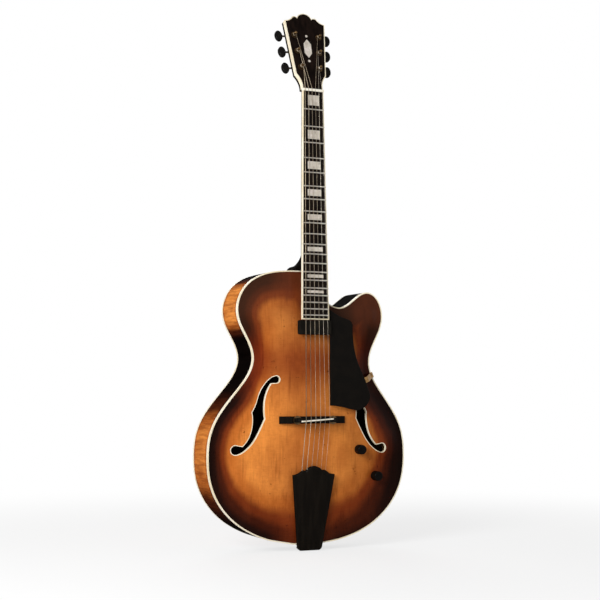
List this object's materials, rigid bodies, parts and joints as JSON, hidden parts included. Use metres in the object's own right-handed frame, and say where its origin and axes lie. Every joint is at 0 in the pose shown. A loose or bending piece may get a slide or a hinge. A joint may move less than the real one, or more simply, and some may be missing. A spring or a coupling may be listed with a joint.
{
  "type": "archtop guitar",
  "caption": "Hollow-body archtop guitar with a rounded cutaway, f-holes, floating pickup, height-adjustable bridge, ebony tailpiece and geared tuners.",
  "frame": {"origin": "centre of the end pin's seat on the outside of the tail, at mid rim depth, on the jack's axis", "axes": "+Z along the neck to the headstock, -Y out of the top (front), +X to the treble side"},
  "size_m": [0.42, 0.1469, 1.0713],
  "materials": {
    "spruce": "satin amber sunburst",
    "maple": "satin amber to dark brown",
    "inner_wood": "bare",
    "neck_wood": "satin dark brown",
    "ebony": "oiled",
    "cream": "polished",
    "pearl": "polished",
    "bone": "satin",
    "gold": "satin",
    "steel": "polished",
    "bronze": "wound",
    "black_plastic": "polished",
    "coil": "taped"
  },
  "bodies": {
    "guitar": {"top": "spruce", "back": "maple", "bass_side": "maple", "treble_side": "maple", "linings": "inner_wood", "end_blocks": "inner_wood", "tone_bars": "inner_wood", "neck": "neck_wood", "fingerboard": "ebony", "headstock_overlay": "ebony", "bridge_base": "ebony", "tailpiece": "ebony", "pickguard": "ebony", "body_bindings": "cream", "fhole_bindings": "cream", "fingerboard_binding": "cream", "headstock_binding": "cream", "fingerboard_inlays": "pearl", "headstock_inlay": "pearl", "nut": "bone", "tuner_housings": "gold", "tuner_bushings": "gold", "wood_screws": "gold", "pickguard_bracket": "gold", "bridge_posts": "gold", "tailpiece_bracket": "gold", "output_jack": "gold", "frets": "steel", "plain_strings": "steel", "truss_rod": "steel", "pots": "steel", "wound_strings": "bronze", "pickup_cover": "black_plastic", "pickup_coil": "coil"},
    "tuner_key_1": {"tuner_button_1": "black_plastic", "tuner_worm_1": "gold"},
    "tuner_post_body_1": {"tuner_post_1": "gold"},
    "tuner_key_2": {"tuner_button_2": "black_plastic", "tuner_worm_2": "gold"},
    "tuner_post_body_2": {"tuner_post_2": "gold"},
    "tuner_key_3": {"tuner_button_3": "black_plastic", "tuner_worm_3": "gold"},
    "tuner_post_body_3": {"tuner_post_3": "gold"},
    "tuner_key_4": {"tuner_button_4": "black_plastic", "tuner_worm_4": "gold"},
    "tuner_post_body_4": {"tuner_post_4": "gold"},
    "tuner_key_5": {"tuner_button_5": "black_plastic", "tuner_worm_5": "gold"},
    "tuner_post_body_5": {"tuner_post_5": "gold"},
    "tuner_key_6": {"tuner_button_6": "black_plastic", "tuner_worm_6": "gold"},
    "tuner_post_body_6": {"tuner_post_6": "gold"},
    "volume_control": {"volume_knob": "black_plastic", "volume_shaft": "steel"},
    "tone_control": {"tone_knob": "black_plastic", "tone_shaft": "steel"},
    "saddle": {"bridge_saddle": "ebony", "saddle_insert": "bone"},
    "thumbwheel_bass_body": {"thumbwheel_bass": "gold"},
    "thumbwheel_treble_body": {"thumbwheel_treble": "gold"}
  },
  "joints": [
    {"name": "tuner_key_1_turn", "type": "hinge", "parent": "guitar", "child": "tuner_key_1", "pos_m": [-0.03753, -0.02426, 0.93993], "axis": [-0.9955, -0.026, -0.0911], "continuous": true, "deforming": ["wound_strings"]},
    {"name": "tuner_post_1_turn", "type": "hinge", "parent": "guitar", "child": "tuner_post_body_1", "pos_m": [-0.01988, -0.04469, 0.9394], "axis": [0, -0.9617, 0.274], "continuous": true, "deforming": ["wound_strings"]},
    {"name": "tuner_key_2_turn", "type": "hinge", "parent": "guitar", "child": "tuner_key_2", "pos_m": [-0.04093, -0.01448, 0.97427], "axis": [-0.9955, -0.026, -0.0911], "continuous": true, "deforming": ["wound_strings"]},
    {"name": "tuner_post_2_turn", "type": "hinge", "parent": "guitar", "child": "tuner_post_body_2", "pos_m": [-0.02327, -0.03491, 0.97374], "axis": [0, -0.9617, 0.274], "continuous": true, "deforming": ["wound_strings"]},
    {"name": "tuner_key_3_turn", "type": "hinge", "parent": "guitar", "child": "tuner_key_3", "pos_m": [-0.04433, -0.0047, 1.0086], "axis": [-0.9955, -0.026, -0.0911], "continuous": true, "deforming": ["wound_strings"]},
    {"name": "tuner_post_3_turn", "type": "hinge", "parent": "guitar", "child": "tuner_post_body_3", "pos_m": [-0.02667, -0.02513, 1.00807], "axis": [0, -0.9617, 0.274], "continuous": true, "deforming": ["wound_strings"]},
    {"name": "tuner_key_4_turn", "type": "hinge", "parent": "guitar", "child": "tuner_key_4", "pos_m": [0.04433, -0.0047, 1.0086], "axis": [0.9955, -0.026, -0.0911], "continuous": true, "deforming": ["wound_strings"]},
    {"name": "tuner_post_4_turn", "type": "hinge", "parent": "guitar", "child": "tuner_post_body_4", "pos_m": [0.02667, -0.02513, 1.00807], "axis": [0, -0.9617, 0.274], "continuous": true, "deforming": ["wound_strings"]},
    {"name": "tuner_key_5_turn", "type": "hinge", "parent": "guitar", "child": "tuner_key_5", "pos_m": [0.04093, -0.01448, 0.97427], "axis": [0.9955, -0.026, -0.0911], "continuous": true, "deforming": ["plain_strings"]},
    {"name": "tuner_post_5_turn", "type": "hinge", "parent": "guitar", "child": "tuner_post_body_5", "pos_m": [0.02327, -0.03491, 0.97374], "axis": [0, -0.9617, 0.274], "continuous": true, "deforming": ["plain_strings"]},
    {"name": "tuner_key_6_turn", "type": "hinge", "parent": "guitar", "child": "tuner_key_6", "pos_m": [0.03753, -0.02426, 0.93993], "axis": [0.9955, -0.026, -0.0911], "continuous": true, "deforming": ["plain_strings"]},
    {"name": "tuner_post_6_turn", "type": "hinge", "parent": "guitar", "child": "tuner_post_body_6", "pos_m": [0.01988, -0.04469, 0.9394], "axis": [0, -0.9617, 0.274], "continuous": true, "deforming": ["plain_strings"]},
    {"name": "volume_turn", "type": "hinge", "parent": "guitar", "child": "volume_control", "pos_m": [0.1005, -0.05998, 0.18305], "axis": [0, -1, 0], "range_deg": [-150, 150]},
    {"name": "tone_turn", "type": "hinge", "parent": "guitar", "child": "tone_control", "pos_m": [0.1385, -0.0551, 0.13002], "axis": [0, -1, 0], "range_deg": [-150, 150]},
    {"name": "saddle_lift", "type": "slide", "parent": "guitar", "child": "saddle", "axis": [0, -1, 0], "range_m": [-0.0018, 0.0029], "deforming": ["wound_strings", "plain_strings"]},
    {"name": "thumbwheel_bass_turn", "type": "hinge", "parent": "saddle", "child": "thumbwheel_bass_body", "pos_m": [-0.0375, -0.0712, 0.24212], "axis": [0, -1, 0], "range_deg": [-900, 1440], "deforming": ["wound_strings", "plain_strings"]},
    {"name": "thumbwheel_treble_turn", "type": "hinge", "parent": "saddle", "child": "thumbwheel_treble_body", "pos_m": [0.0375, -0.0712, 0.24212], "axis": [0, -1, 0], "range_deg": [-900, 1440], "deforming": ["wound_strings", "plain_strings"]}
  ],
  "couplings": [
    {"joint": "tuner_post_1_turn", "follows": "tuner_key_1_turn", "ratio": 0.071429},
    {"joint": "tuner_post_2_turn", "follows": "tuner_key_2_turn", "ratio": 0.071429},
    {"joint": "tuner_post_3_turn", "follows": "tuner_key_3_turn", "ratio": 0.071429},
    {"joint": "tuner_post_4_turn", "follows": "tuner_key_4_turn", "ratio": 0.071429},
    {"joint": "tuner_post_5_turn", "follows": "tuner_key_5_turn", "ratio": 0.071429},
    {"joint": "tuner_post_6_turn", "follows": "tuner_key_6_turn", "ratio": 0.071429},
    {"joint": "saddle_lift", "follows": "thumbwheel_bass_turn", "m_per_rad": 0.00011141},
    {"joint": "thumbwheel_treble_turn", "follows": "thumbwheel_bass_turn", "ratio": 1}
  ]
}
